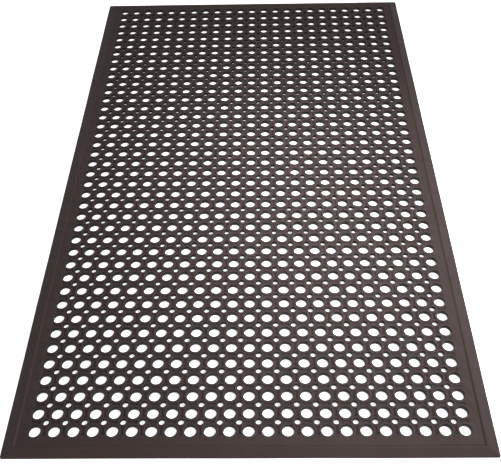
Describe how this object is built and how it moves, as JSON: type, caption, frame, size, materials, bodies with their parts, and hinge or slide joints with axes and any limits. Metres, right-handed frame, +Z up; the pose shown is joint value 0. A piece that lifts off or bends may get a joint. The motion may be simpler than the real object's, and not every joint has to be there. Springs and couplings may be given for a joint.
{
  "type": "anti fatigue mat",
  "caption": "Rectangular perforated rubber drainage mat with large and small round holes and a bevelled border, for standing on.",
  "frame": {"origin": "on the floor, under the middle of the mat", "axes": "+Y along the mat's length, +X across its width, +Z up from the floor"},
  "size_m": [0.9144, 1.524, 0.0127],
  "materials": {
    "deck_rubber": "matt moulded rubber",
    "ramp_rubber": "matt moulded rubber"
  },
  "bodies": {
    "root": {"deck_front": "deck_rubber", "deck_rear": "deck_rubber", "ramp_front": "ramp_rubber", "ramp_rear": "ramp_rubber", "ramp_left": "ramp_rubber", "ramp_right": "ramp_rubber"}
  },
  "joints": []
}
